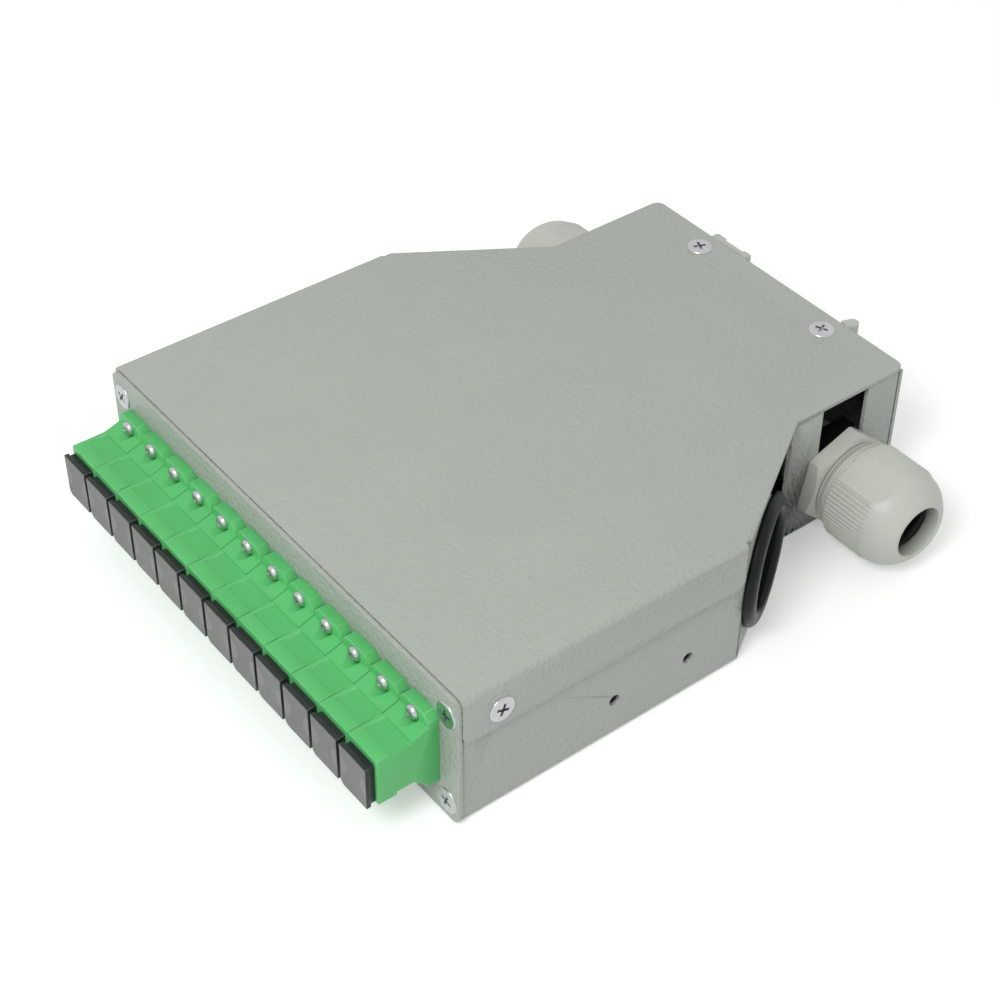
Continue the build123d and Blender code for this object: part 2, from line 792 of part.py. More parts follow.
def rail_land_limits():
    """X limits of the raised land that the rail's flange rests on, clear of both hooks' lips."""
    left = -rail_width / 2 + clip_lip_overlap + rail_land_gap
    right = rail_width / 2 - latch_lip_overlap - rail_land_gap
    return (left, right)


def clip_limits():
    return (clip_mid_z - clip_height / 2, clip_mid_z + clip_height / 2)


def latch_outer_x():
    return rail_width / 2 + rail_clearance + latch_hook_wall


def make_din_clip():
    low, high = clip_limits()
    left = -rail_width / 2 + clip_lip_overlap - clip_slot_depth - clip_hook_wall
    right = latch_outer_x()
    clip = span_box((left, right), (rear_y, rail_seat_y - rail_land), (low, high))
    clip += span_box(rail_land_limits(), (rear_y, rail_seat_y), (low, high))
    clip += Pos(0, 0, low) * extrude(hook_outline(), amount=clip_height)
    channel_half = latch_width / 2 + latch_clearance
    channel_left = rail_width / 2 - latch_body_length - latch_clearance
    channel_z = (clip_mid_z - channel_half, clip_mid_z + channel_half)
    clip -= span_box((channel_left, right + 1), (clip_screw_seat_y, rail_seat_y + 1), channel_z)
    for x, z in clip_screw_places():
        clip -= sided_bar(Vector(x, rear_y - 1, z), inward, clip_hole_radius, clip_plate + 2, small_sides)
        head_radius = clip_screw_head / 2 + screw_clearance
        clip -= sided_bar(Vector(x, clip_screw_seat_y, z), inward, head_radius, clip_plate, head_sides)
    return clip


def latch_hook_outline():
    """Latch hook seen from above, with a sloped lip that the rail's edge pushes aside."""
    front = rail_seat_y - latch_thickness
    inner = rail_width / 2 + rail_clearance
    lip_inner = rail_seat_y + rail_flange + rail_clearance
    tip = rail_width / 2 - latch_lip_overlap
    outer = latch_outer_x()
    return make_face(
        Polyline(
            (inner, front),
            (inner, lip_inner),
            (tip, lip_inner),
            (inner, lip_inner + latch_lip),
            (outer, lip_inner + latch_lip),
            (outer, front),
            close=True,
        )
    )


def make_din_latch():
    """Sliding latch with its hook and release arm, at rest against the rail's edge."""
    zs = (clip_mid_z - latch_width / 2, clip_mid_z + latch_width / 2)
    left = rail_width / 2 - latch_body_length
    outer = latch_outer_x()
    front = rail_seat_y - latch_thickness
    latch = span_box((left, outer), (front, rail_seat_y - rail_clearance / 2), zs)
    latch += Pos(0, 0, zs[0]) * extrude(latch_hook_outline(), amount=latch_width)
    half = latch_arm_thickness / 2
    lip_inner = rail_seat_y + rail_flange + rail_clearance
    arm = span_box((-half, half), (0, latch_arm_reach), clip_limits())
    arm = fillet(arm.edges().filter_by(Axis.Z).group_by(Axis.Y)[-1], latch_arm_thickness * 0.45)
    latch += Pos(outer - half, lip_inner, 0) * Rot(0, 0, -latch_arm_lean) * arm
    head = clip_screw_head / 2 + 2 * latch_clearance
    for x, z in clip_screw_places():
        if x > left:
            xs = (x - head - latch_travel, x + head)
            latch -= span_box(xs, (front - 1, rail_seat_y + 1), (z - head, z + head))
    return latch


def make_clip_screw(x, z):
    seat = Vector(x, clip_screw_seat_y, z)
    screw = sided_bar(seat, -inward, clip_screw_shank / 2, clip_screw_length, small_sides)
    return screw + sided_bar(seat, inward, clip_screw_head / 2, clip_screw_head_height, head_sides)


# Splice tray and cable anchors inside the box

def tray_corner_points():
    x = tray_width / 2 - standoff_inset
    near = tray_front + standoff_inset
    far = tray_front + tray_length - standoff_inset
    return [(sx * x, y) for sx in (-1, 1) for y in (near, far)]


def make_splice_tray():
    z0 = sheet + standoff_height
    place = Pos(0, tray_front + tray_length / 2, z0)
    outer = Rectangle(tray_width, tray_length)
    outer = chamfer(outer.vertices(), tray_corner)
    inner = offset(outer, amount=-tray_rim_wall, kind=Kind.INTERSECTION)
    tray = place * extrude(outer, amount=tray_thickness + tray_rim)
    tray -= place * Pos(0, 0, tray_thickness) * extrude(inner, amount=tray_rim + 1)
    mouth_z = (z0 + tray_thickness, z0 + tray_thickness + tray_rim + 1)
    for y in (tray_front, tray_front + tray_length):
        for side in (-1, 1):
            x = side * (tray_width / 2 - tray_corner - tray_mouth / 2)
            mouth_ys = (y - 2 * tray_rim_wall, y + 2 * tray_rim_wall)
            tray -= span_box((x - tray_mouth / 2, x + tray_mouth / 2), mouth_ys, mouth_z)
    for x, y in tray_corner_points():
        tray -= sided_bar(Vector(x, y, z0 - 1), up, tray_hole_radius, tray_thickness + 2, small_sides)
    return tray


def make_splice_holder():
    z0 = sheet + standoff_height + tray_thickness
    y_mid = tray_front + tray_length / 2
    width = splice_slots * splice_pitch + splice_fin
    ys = (y_mid - splice_length / 2, y_mid + splice_length / 2)
    holder = span_box((-width / 2, width / 2), ys, (z0, z0 + splice_base))
    for i in range(splice_slots + 1):
        x = (i - splice_slots / 2) * splice_pitch
        top = z0 + splice_base + splice_fin_height
        holder += span_box((x - splice_fin / 2, x + splice_fin / 2), ys, (z0, top))
    return holder


def make_standoff(x, y):
    start = Vector(x, y, sheet)
    hole = sided_bar(start, up, tray_hole_radius, standoff_height, small_sides)
    return hex_bar(start, up, standoff_across, standoff_height) - hole


def make_tray_screw(x, y):
    top = sheet + standoff_height + tray_thickness
    head = sided_bar(Vector(x, y, top), up, tray_screw_head / 2, tray_screw_head_height, small_sides)
    return head + sided_bar(Vector(x, y, top), down, tray_screw_shank / 2, tray_screw_length, small_sides)


def make_cable_anchor():
    """Angle bracket that holds the cable's strength member, on the right side."""
    ys = (gland_y - anchor_width / 2, gland_y + anchor_width / 2)
    foot = span_box((anchor_x - anchor_foot, anchor_x), ys, (sheet, sheet + anchor_sheet))
    post = span_box((anchor_x - anchor_sheet, anchor_x), ys, (sheet, sheet + anchor_height))
    bracket = foot + post
    hole_start = Vector(anchor_x - 2 * anchor_sheet, gland_y, sheet + anchor_height - anchor_hole_drop)
    bracket -= sided_bar(hole_start, to_right, anchor_hole / 2, 3 * anchor_sheet, small_sides)
    bracket -= sided_bar(anchor_screw_base(), up, tray_hole_radius, 2 * anchor_sheet, small_sides)
    return bracket


def anchor_screw_base():
    return Vector(anchor_x - anchor_foot / 2 - anchor_sheet / 2, gland_y, sheet)


def make_anchor_screw():
    """Stud welded to the floor with its nut, on the right side."""
    base = anchor_screw_base()
    stud = sided_bar(base, up, tray_screw_shank / 2, anchor_stud_length, small_sides)
    return stud + hex_bar(base + up * anchor_sheet, up, anchor_nut_across, anchor_nut_height)


def mirrored(shape):
    return mirror(shape, about=Plane.YZ)


def save_pair(name, right):
    save(f"{name}_right", right)
    save(f"{name}_left", mirrored(right))


def save_sheet_metal():
    save("base_tray", *fold_solids(make_base_tray()))
    save("cover", make_cover())
    save("front_panel", make_front_panel())
    save("panel_screws", *[countersunk_screw(p, inward) for p in panel_screw_points()])
    save("cover_rear_screws", *[countersunk_screw(p, down) for p in rear_screw_points()])
    save("cover_side_screws", *[countersunk_screw(p, d) for p, d in side_screw_points()])
    places = [(Vector(p.X, tab_front + sheet, p.Z), inward) for p in panel_screw_points()]
    places += [(Vector(p.X, p.Y, wall_top - sheet), down) for p in rear_screw_points()]
    places += [(p + d * (2 * sheet + lap_clearance), d) for p, d in side_screw_points()]
    nuts = [clinch_nut(start, direction, screw_hole_radius) for start, direction in places]
    nuts += [clinch_nut(Vector(x, rear_y - sheet, z), -inward, clip_hole_radius) for x, z in clip_screw_places()]
    save("clinch_nuts", *nuts)


def save_adapters():
    adapter = make_adapter()
    cap = make_dust_cap()
    screws = []
    for i in range(adapter_count):
        place = Pos(adapter_x(i), 0, 0)
        save(f"adapter_{i + 1:02d}", place * adapter)
        save(f"dust_cap_{i + 1:02d}", place * cap)
        screws += [place * make_adapter_screw(z) for z in adapter_screw_heights()]
    save("adapter_screws", *screws)


def save_side_entries():
    save_pair("gland_body", make_gland_body())
    save_pair("gland_cap_nut", make_gland_cap_nut())
    save_pair("gland_seal", make_gland_seal())
    save_pair("gland_clamp", make_gland_clamp())
    save_pair("gland_locknut", make_gland_locknut())
    save_pair("grommet", make_grommet())


def save_rail_clip():
    save("din_clip", make_din_clip())
    save("din_latch", make_din_latch())
    save("din_clip_screws", *[make_clip_screw(x, z) for x, z in clip_screw_places()])


def save_inside():
    save("splice_tray", make_splice_tray())
    save("splice_holder", make_splice_holder())
    save("tray_standoffs", *[make_standoff(x, y) for x, y in tray_corner_points()])
    save("tray_screws", *[make_tray_screw(x, y) for x, y in tray_corner_points()])
    save_pair("cable_anchor", make_cable_anchor())
    save("anchor_studs", make_anchor_screw(), mirrored(make_anchor_screw()))


os.makedirs("parts", exist_ok=True)
save_sheet_metal()
save_adapters()
save_side_entries()
save_rail_clip()
save_inside()
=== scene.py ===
"""Dresses a slim sheet-steel fibre box: paint, plastics, rubber and plated screws, on a pale studio floor."""

import math

import bmesh
import bpy
from mathutils import Matrix, Vector


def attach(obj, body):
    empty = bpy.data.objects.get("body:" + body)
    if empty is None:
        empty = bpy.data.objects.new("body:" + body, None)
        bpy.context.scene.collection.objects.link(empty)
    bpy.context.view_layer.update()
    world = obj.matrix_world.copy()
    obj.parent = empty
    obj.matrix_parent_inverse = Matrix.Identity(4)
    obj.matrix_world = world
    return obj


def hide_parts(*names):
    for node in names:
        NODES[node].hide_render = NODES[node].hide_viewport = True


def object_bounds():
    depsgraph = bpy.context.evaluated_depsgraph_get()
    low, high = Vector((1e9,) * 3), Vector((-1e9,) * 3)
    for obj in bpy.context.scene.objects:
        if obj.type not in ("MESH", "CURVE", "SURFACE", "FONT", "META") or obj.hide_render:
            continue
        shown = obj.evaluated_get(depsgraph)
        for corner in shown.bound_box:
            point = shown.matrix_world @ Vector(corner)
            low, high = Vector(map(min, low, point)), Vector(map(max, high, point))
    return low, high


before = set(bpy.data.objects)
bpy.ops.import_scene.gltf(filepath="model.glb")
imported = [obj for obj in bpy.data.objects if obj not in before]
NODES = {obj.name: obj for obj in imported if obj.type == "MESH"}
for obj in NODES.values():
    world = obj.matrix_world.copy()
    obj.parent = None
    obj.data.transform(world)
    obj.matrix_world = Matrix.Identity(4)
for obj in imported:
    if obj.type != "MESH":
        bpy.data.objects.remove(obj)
cad_low, cad_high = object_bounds()

bl_info = {
    "name": "Fibre Box Dresser",
    "version": (1, 0, 0),
    "blender": (4, 5, 0),
    "location": "View3D > Sidebar > Fibre Box",
    "description": "Finishes for a rail-mounted fibre box and its studio",
    "category": "Object",
}

PORTS = range(1, 13)
SIDES = ("right", "left")
MM = 0.001
SHORTEST_EDGE = 0.6 * MM
PORT_PITCH = 10.55
PORT_MIDDLE = 6.5
IMAGE_SIZE = 1000


# Sizes and colours that a user would change


class SheetMetalSettings(bpy.types.PropertyGroup):
    """Painted sheet steel."""

    paint_colour: bpy.props.FloatVectorProperty(
        name="Paint", description="Colour of the powder coat", subtype="COLOR", size=3,
        default=(0.366, 0.392, 0.358), min=0.0, max=1.0,
    )
    grain_size: bpy.props.FloatProperty(
        name="Grain", description="Distance between the bumps of the powder coat", unit="LENGTH",
        default=0.0011, min=0.0001,
    )
    edge_round: bpy.props.FloatProperty(
        name="Edge", description="Rounding of the painted sheet's edges", unit="LENGTH",
        default=0.00022, min=0.0,
    )


class AdapterSettings(bpy.types.PropertyGroup):
    """Moulded adapters and their caps."""

    housing_colour: bpy.props.FloatVectorProperty(
        name="Housing", description="Colour of the adapter housings", subtype="COLOR", size=3,
        default=(0.085, 0.47, 0.135), min=0.0, max=1.0,
    )
    cap_colour: bpy.props.FloatVectorProperty(
        name="Cap", description="Colour of the dust caps", subtype="COLOR", size=3,
        default=(0.022, 0.026, 0.025), min=0.0, max=1.0,
    )
    cap_face_colour: bpy.props.FloatVectorProperty(
        name="Cap Face", description="Colour of the dust caps' matt front faces", subtype="COLOR", size=3,
        default=(0.165, 0.17, 0.167), min=0.0, max=1.0,
    )
    edge_round: bpy.props.FloatProperty(
        name="Edge", description="Rounding of the moulded edges", unit="LENGTH",
        default=0.00014, min=0.0,
    )


class EntrySettings(bpy.types.PropertyGroup):
    """Cable glands and grommets."""

    gland_colour: bpy.props.FloatVectorProperty(
        name="Gland", description="Colour of the nylon glands", subtype="COLOR", size=3,
        default=(0.49, 0.51, 0.46), min=0.0, max=1.0,
    )
    rubber_colour: bpy.props.FloatVectorProperty(
        name="Rubber", description="Colour of the rubber", subtype="COLOR", size=3,
        default=(0.004, 0.005, 0.0045), min=0.0, max=1.0,
    )


class StudioSettings(bpy.types.PropertyGroup):
    """Floor, lamps and camera."""

    floor_colour: bpy.props.FloatVectorProperty(
        name="Floor", description="Colour of the floor", subtype="COLOR", size=3,
        default=(0.8, 0.8, 0.8), min=0.0, max=1.0,
    )
    sky_strength: bpy.props.FloatProperty(
        name="Sky", description="Strength of the soft light all round", default=0.66, min=0.0,
    )
    key_power: bpy.props.FloatProperty(
        name="Key", description="Power of the large soft lamp", unit="POWER", default=4.0, min=0.0,
    )


# Shared shader effects


def new_group(name, inputs, outputs):
    """A shader node group with named sockets, and its input and output nodes."""
    group = bpy.data.node_groups.new(name, "ShaderNodeTree")
    for socket_name, kind, value in inputs:
        socket = group.interface.new_socket(socket_name, in_out="INPUT", socket_type=kind)
        socket.default_value = value
    for socket_name, kind in outputs:
        group.interface.new_socket(socket_name, in_out="OUTPUT", socket_type=kind)
    return group, group.nodes.new("NodeGroupInput"), group.nodes.new("NodeGroupOutput")


def add_node(tree, kind, values=None, links=None, **settings):
    """A node with its settings, socket values and incoming links."""
    node = tree.nodes.new(kind)
    for key, value in settings.items():
        setattr(node, key, value)
    for key, value in (values or {}).items():
        node.inputs[key].default_value = value
    for key, source in (links or {}).items():
        tree.links.new(source, node.inputs[key])
    return node


def calculate(tree, operation, first, second):
    """A sum of two values, each a number or another node's output."""
    node = tree.nodes.new("ShaderNodeMath")
    node.operation = operation
    for socket, value in zip(node.inputs, (first, second)):
        if isinstance(value, (int, float)):
            socket.default_value = value
        else:
            tree.links.new(value, socket)
    return node.outputs[0]


def build_grain_group():
    """Fine rounded grain of a coated or moulded surface: a bumped normal and a height value."""
    group, source, out = new_group(
        "Surface Grain",
        [
            ("Vector", "NodeSocketVector", (0.0, 0.0, 0.0)),
            ("Frequency", "NodeSocketFloat", 1200.0),
            ("Depth", "NodeSocketFloat", 0.00004),
            ("Strength", "NodeSocketFloat", 0.5),
        ],
        [("Normal", "NodeSocketVector"), ("Height", "NodeSocketFloat")],
    )
    noise = add_node(
        group, "ShaderNodeTexNoise", {"Detail": 2.0, "Roughness": 0.55, "Distortion": 0.6},
        {"Vector": source.outputs["Vector"], "Scale": source.outputs["Frequency"]},
    )
    cells = add_node(
        group, "ShaderNodeTexVoronoi", {"Smoothness": 0.8},
        {"Vector": source.outputs["Vector"], "Scale": source.outputs["Frequency"]},
        feature="SMOOTH_F1",
    )
    softened = calculate(group, "MULTIPLY", noise.outputs["Fac"], 0.5)
    summed = calculate(group, "ADD", softened, cells.outputs["Distance"])
    bump = add_node(
        group, "ShaderNodeBump", None,
        {"Height": summed, "Distance": source.outputs["Depth"], "Strength": source.outputs["Strength"]},
    )
    group.links.new(bump.outputs["Normal"], out.inputs["Normal"])
    group.links.new(summed, out.inputs["Height"])
    return group


def build_tone_group():
    """Uneven tone: a colour that drifts a little over the surface in broad patches."""
    group, source, out = new_group(
        "Uneven Tone",
        [
            ("Vector", "NodeSocketVector", (0.0, 0.0, 0.0)),
            ("Colour", "NodeSocketColor", (0.5, 0.5, 0.5, 1.0)),
            ("Amount", "NodeSocketFloat", 0.06),
            ("Frequency", "NodeSocketFloat", 60.0),
        ],
        [("Colour", "NodeSocketColor"), ("Patch", "NodeSocketFloat")],
    )
    broad = add_node(
        group, "ShaderNodeTexNoise", {"Detail": 4.0, "Roughness": 0.6},
        {"Vector": source.outputs["Vector"], "Scale": source.outputs["Frequency"]},
    )
    shift = add_node(
        group, "ShaderNodeMapRange", {"From Min": 0.25, "From Max": 0.75, "To Min": -1.0, "To Max": 1.0},
        {"Value": broad.outputs["Fac"]},
    )
    scaled = calculate(group, "MULTIPLY", shift.outputs["Result"], source.outputs["Amount"])
    toned = add_node(
        group, "ShaderNodeVectorMath", None,
        {0: source.outputs["Colour"], 1: calculate(group, "ADD", scaled, 1.0)}, operation="MULTIPLY",
    )
    group.links.new(toned.outputs["Vector"], out.inputs["Colour"])
    group.links.new(broad.outputs["Fac"], out.inputs["Patch"])
    return group


def build_edge_highlight_group():
    """Painted edge highlights: a second colour on the edge strips that stands in for the light the rounded
    edges catch, broken up by a fine noise.
    """
    group, source, out = new_group(
        "Painted Edge Highlights",
        [
            ("Vector", "NodeSocketVector", (0.0, 0.0, 0.0)),
            ("Colour", "NodeSocketColor", (0.5, 0.5, 0.5, 1.0)),
            ("Highlight Colour", "NodeSocketColor", (0.7, 0.7, 0.7, 1.0)),
            ("Edge", "NodeSocketFloat", 0.0),
            ("Amount", "NodeSocketFloat", 0.5),
        ],
        [("Colour", "NodeSocketColor")],
    )
    broken = add_node(
        group, "ShaderNodeTexNoise", {"Scale": 350.0, "Detail": 3.0}, {"Vector": source.outputs["Vector"]}
    )
    patches = add_node(
        group, "ShaderNodeMapRange", {"From Min": 0.3, "From Max": 0.6}, {"Value": broken.outputs["Fac"]}
    )
    highlighted = calculate(group, "MULTIPLY", source.outputs["Edge"], patches.outputs["Result"])
    mixed = add_node(
        group, "ShaderNodeMix", None,
        {
            "Factor": calculate(group, "MULTIPLY", highlighted, source.outputs["Amount"]),
            "A": source.outputs["Colour"], "B": source.outputs["Highlight Colour"],
        },
        data_type="RGBA",
    )
    group.links.new(mixed.outputs["Result"], out.inputs["Colour"])
    return group


GRAIN = build_grain_group()
TONE = build_tone_group()
# Painted highlight on the rounded edge strips, mixed into the colour of every grained surface
EDGE_HIGHLIGHT = build_edge_highlight_group()


def new_material(name):
    """An empty node material: its tree, its shader and its object coordinates."""
    material = bpy.data.materials.new(name)
    material.use_nodes = True
    tree = material.node_tree
    shader = tree.nodes["Principled BSDF"]
    place = tree.nodes.new("ShaderNodeTexCoord").outputs["Object"]
    return material, tree, shader, place


def place_group(tree, group, values, links):
    """A shared effect placed in a material with its own values."""
    return add_node(tree, "ShaderNodeGroup", values, links, node_tree=group)


def spread(tree, value, low, high):
    """A texture value stretched to a range."""
    limits = {"From Min": 0.3, "From Max": 0.7, "To Min": low, "To Max": high}
    return add_node(tree, "ShaderNodeMapRange", limits, {"Value": value}).outputs["Result"]


def surface_material(name, colour, grain, tone, roughness, highlight_share=0.25, **shader_values):
    """A grained, uneven surface with a painted highlight on its edge strips. grain is frequency, depth,
    strength; tone is amount, frequency.
    """
    material, tree, shader, place = new_material(name)
    toned = place_group(
        tree, TONE, {"Colour": (*colour, 1.0), "Amount": tone[0], "Frequency": tone[1]}, {"Vector": place}
    )
    # The bevelled edge strips get a painted highlight: their colour is mixed 45% towards white
    edge = add_node(tree, "ShaderNodeAttribute", attribute_name="edge_strip").outputs["Fac"]
    lighter = [channel + (1.0 - channel) * 0.45 for channel in colour]
    highlighted = place_group(
        tree, EDGE_HIGHLIGHT, {"Highlight Colour": (*lighter, 1.0), "Amount": highlight_share},
        {"Vector": place, "Colour": toned.outputs["Colour"], "Edge": edge},
    )
    bumped = place_group(
        tree, GRAIN, {"Frequency": grain[0], "Depth": grain[1], "Strength": grain[2]}, {"Vector": place}
    )
    tree.links.new(highlighted.outputs["Colour"], shader.inputs["Base Color"])
    tree.links.new(spread(tree, toned.outputs["Patch"], *roughness), shader.inputs["Roughness"])
    tree.links.new(bumped.outputs["Normal"], shader.inputs["Normal"])
    for key, value in shader_values.items():
        shader.inputs[key.replace("_", " ")].default_value = value
    return material


# Modelling helpers

DOUBLES = 1e-6
FLAT_ANGLE = math.radians(0.5)


def merged_shape(mesh):
    """A mesh with its doubles merged and its flat faces joined."""
    shape = bmesh.new()
    shape.from_mesh(mesh)
    bmesh.ops.remove_doubles(shape, verts=shape.verts, dist=DOUBLES)
    bmesh.ops.dissolve_limit(
        shape, angle_limit=FLAT_ANGLE, verts=shape.verts, edges=shape.edges, use_dissolve_boundaries=False
    )
    return shape


def round_edges(shape, radius, segments=2, angle=35.0):
    """Rounds the longer sharp edges and marks the strips that this makes."""
    strip = shape.faces.layers.float.new("edge_strip")
    sharp = [
        edge for edge in shape.edges
        if edge.is_manifold and abs(edge.calc_face_angle_signed(0.0)) > math.radians(angle)
        and edge.calc_length() > SHORTEST_EDGE
    ]
    made = bmesh.ops.bevel(
        shape, geom=sharp, offset=radius, offset_type="OFFSET", segments=segments, profile=0.5,
        affect="EDGES", clamp_overlap=True, material=-1, loop_slide=True,
    )
    for face in made["faces"]:
        face[strip] = 1.0


def finished_mesh(name, shape, sharp_angle=40.0):
    """The mesh of a shape, smooth between its sharp edges."""
    mesh = bpy.data.meshes.new(name)
    shape.to_mesh(mesh)
    shape.free()
    mesh.polygons.foreach_set("use_smooth", [True] * len(mesh.polygons))
    mesh.set_sharp_from_angle(angle=math.radians(sharp_angle))
    return mesh


def rounded_copy(node, radius):
    """A copy of a solid with rounded edges."""
    shape = merged_shape(NODES[node].data)
    round_edges(shape, radius)
    return finished_mesh(node + "_look", shape)


def joined_copy(node, radius):
    """A copy of solids that meet face to face, joined to one skin whose edges are rounded."""
    shape = merged_shape(NODES[node].data)
    mesh = bpy.data.meshes.new(node + "_solids")
    shape.to_mesh(mesh)
    shape.free()
    whole = bpy.data.objects.new(node + "_whole", mesh)
    empty = bpy.data.objects.new(node + "_empty", bpy.data.meshes.new(node + "_none"))
    for part in (whole, empty):
        bpy.context.scene.collection.objects.link(part)
    union = whole.modifiers.new("Union", "BOOLEAN")
    union.operation = "UNION"
    union.solver = "EXACT"
    union.use_self = True
    union.object = empty
    view = bpy.context.evaluated_depsgraph_get()
    skin = bpy.data.meshes.new_from_object(whole.evaluated_get(view))
    for part in (whole, empty):
        bpy.data.objects.remove(part)
    shape = merged_shape(skin)
    bpy.data.meshes.remove(skin)
    round_edges(shape, radius)
    return finished_mesh(node + "_look", shape)


def place_ring(points, rule):
    """Moves a ring's points to a radius and a height, or to those that a rule gives for their angle."""
    for point in points:
        angle = math.degrees(math.atan2(point.co.y, point.co.x))
        radius, height = rule(angle) if callable(rule) else rule
        flat = point.co.xy.normalized() * radius
        point.co = (flat.x, flat.y, height)


def rim_edges(edges, points):
    """The edges that join points of one ring."""
    ring = set(points)
    return [edge for edge in edges if ring.issuperset(edge.verts)]


def grow(shape, segments, rings):
    """A wall extruded from a circle through rings in millimetres; returns its first and last rim."""
    points = bmesh.ops.create_circle(shape, segments=segments, radius=1.0)["verts"]
    first = rim = rim_edges(shape.edges, points)
    place_ring(points, rings[0])
    for rule in rings[1:]:
        grown = bmesh.ops.extrude_edge_only(shape, edges=rim)["geom"]
        points = [item for item in grown if isinstance(item, bmesh.types.BMVert)]
        rim = rim_edges([item for item in grown if isinstance(item, bmesh.types.BMEdge)], points)
        place_ring(points, rule)
    return first, rim


def grown_ring(segments, rings):
    """A closed ring shape: a wall grown through its rings whose last rim is bridged to its first."""
    shape = bmesh.new()
    first, last = grow(shape, segments, rings)
    bmesh.ops.bridge_loops(shape, edges=first + last)
    bmesh.ops.recalc_face_normals(shape, faces=shape.faces)
    return shape


def cross_screw(rings, crest, blade, arm, depth):
    """A screw along Z: a head and shank grown through rings, and a cross recess in the domed top."""
    shape = bmesh.new()
    top, end = grow(shape, 36, rings)
    bmesh.ops.contextual_create(shape, geom=end)
    reach, rise = rings[0]
    half = arm * 1.1
    columns = (half, arm, (arm + blade) / 2, blade, blade / 3)
    columns = [-value for value in columns] + list(reversed(columns))
    grid = bmesh.ops.create_grid(shape, x_segments=9, y_segments=9, size=1.0)["verts"]
    for point in grid:
        x = columns[round((point.co.x + 1.0) * 4.5)]
        y = columns[round((point.co.y + 1.0) * 4.5)]
        share = (x * x + y * y) / reach ** 2
        point.co = (x, y, crest - (crest - rise) * share)
    tiles = {face for point in grid for face in point.link_faces}
    cross = []
    for face in shape.faces:
        x, y = (abs(value) for value in face.calc_center_median().xy)
        if face in tiles and min(x, y) < blade and max(x, y) < arm:
            cross.append(face)
    edge_of_top = [edge for edge in shape.edges if edge.is_boundary]
    bmesh.ops.bridge_loops(shape, edges=edge_of_top)
    bmesh.ops.recalc_face_normals(shape, faces=shape.faces)
    shape.normal_update()
    bmesh.ops.inset_region(shape, faces=cross, thickness=blade * 0.35, depth=-depth, use_even_offset=False)
    return shape


def seat(point, outward, turn=0.0):
    """Matrix from millimetres with Z outwards to metres at a point of the part."""
    aim = Vector(outward).to_track_quat("Z", "Y").to_matrix().to_4x4()
    spun = Matrix.Rotation(math.radians(turn), 4, "Z")
    return Matrix.Translation(Vector(point) * MM) @ aim @ spun @ Matrix.Scale(MM, 4)


def repeated(name, shape, places, sharp_angle=40.0):
    """One mesh that holds a shape at several places."""
    single = bpy.data.meshes.new(name + "_single")
    shape.to_mesh(single)
    shape.free()
    joined = bmesh.new()
    for place in places:
        count = len(joined.verts)
        joined.from_mesh(single)
        bmesh.ops.transform(joined, matrix=place, verts=list(joined.verts)[count:])
    bmesh.ops.recalc_face_normals(joined, faces=joined.faces)
    bpy.data.meshes.remove(single)
    return finished_mesh(name, joined, sharp_angle)


def place_piece(name, mesh, body, material, replaced=()):
    """A finished piece that rides on a body and stands for its nodes."""
    piece = bpy.data.objects.new(name, mesh)
    bpy.context.scene.collection.objects.link(piece)
    mesh.materials.clear()
    mesh.materials.append(material)
    if replaced:
        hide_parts(*replaced)
    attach(piece, body)
    return piece


def finish_node(node, material):
    """A material on a solid that keeps its own shape."""
    slots = NODES[node].material_slots
    if not slots:
        NODES[node].data.materials.append(material)
    for slot in slots:
        slot.material = material


# Operators


class FIBREBOX_OT_sheet_metal(bpy.types.Operator):
    """Paint the tray, the cover and the front panel"""

    bl_idname = "fibrebox.sheet_metal"
    bl_label = "Sheet Metal"

    def execute(self, context):
        settings = context.scene.fibrebox_sheet
        # The powder coat's edge strips get a stronger painted highlight than the other surfaces
        paint = surface_material(
            "Powder_Coat", settings.paint_colour, (1.0 / settings.grain_size, 0.00025, 1.0),
            (0.03, 40.0), (0.42, 0.5), highlight_share=0.5,
        )
        for node in ("base_tray", "cover", "front_panel"):
            copy = joined_copy if node == "base_tray" else rounded_copy
            mesh = copy(node, settings.edge_round)
            place_piece(node + "_painted", mesh, "box", paint, (node,))
        for side in SIDES:
            node = f"cable_anchor_{side}"
            place_piece(node + "_painted", rounded_copy(node, settings.edge_round), "box", paint, (node,))
        return {"FINISHED"}


# Dust caps, in millimetres: height of their middle, the moulded disc and the recess in the front face
CAP_MIDDLE = 18.6
CAP_DISC = 3.1
DISC_FADE_IN = 0.6
DISC_FADE_OUT = 0.2
DISC_STEP = 0.12
CAP_RIM = 0.75
CAP_RECESS = 0.1
DISC_LIGHTER = 1.25


